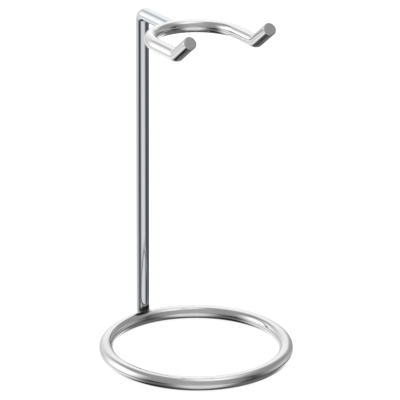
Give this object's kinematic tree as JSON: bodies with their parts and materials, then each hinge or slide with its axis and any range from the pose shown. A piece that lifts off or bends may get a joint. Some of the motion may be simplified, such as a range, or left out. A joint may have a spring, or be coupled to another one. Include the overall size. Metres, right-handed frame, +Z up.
{
  "type": "razor stand",
  "caption": "Free-standing polished rod stand: flat base ring, upright with short arm, and a U-shaped fork with upturned tips that hangs a safety razor by its head.",
  "frame": {"origin": "on the table under the middle of the stand's bounding box", "axes": "+Z up along the post, the fork's open side faces -Y, the post stands at the back on +Y, +X to the right seen from the front"},
  "size_m": [0.076, 0.0815, 0.1373],
  "materials": {
    "ring_chrome": "polished chrome plate on steel rod, faint lengthwise polishing lines",
    "seam_weld_metal": "butt weld ground flush and buffed",
    "upright_chrome": "mirror-polished chrome plate on steel rod",
    "foot_weld_metal": "small plated weld bead, satin",
    "arm_weld_metal": "joint metal ground flush and buffed",
    "fork_chrome": "mirror-polished chrome plate, flat cut tip faces with a rounded edge"
  },
  "bodies": {
    "root": {"base_ring": "ring_chrome", "ring_seam_weld": "seam_weld_metal", "upright_rod": "upright_chrome", "foot_weld": "foot_weld_metal", "arm_weld": "arm_weld_metal", "razor_fork": "fork_chrome"}
  },
  "joints": []
}
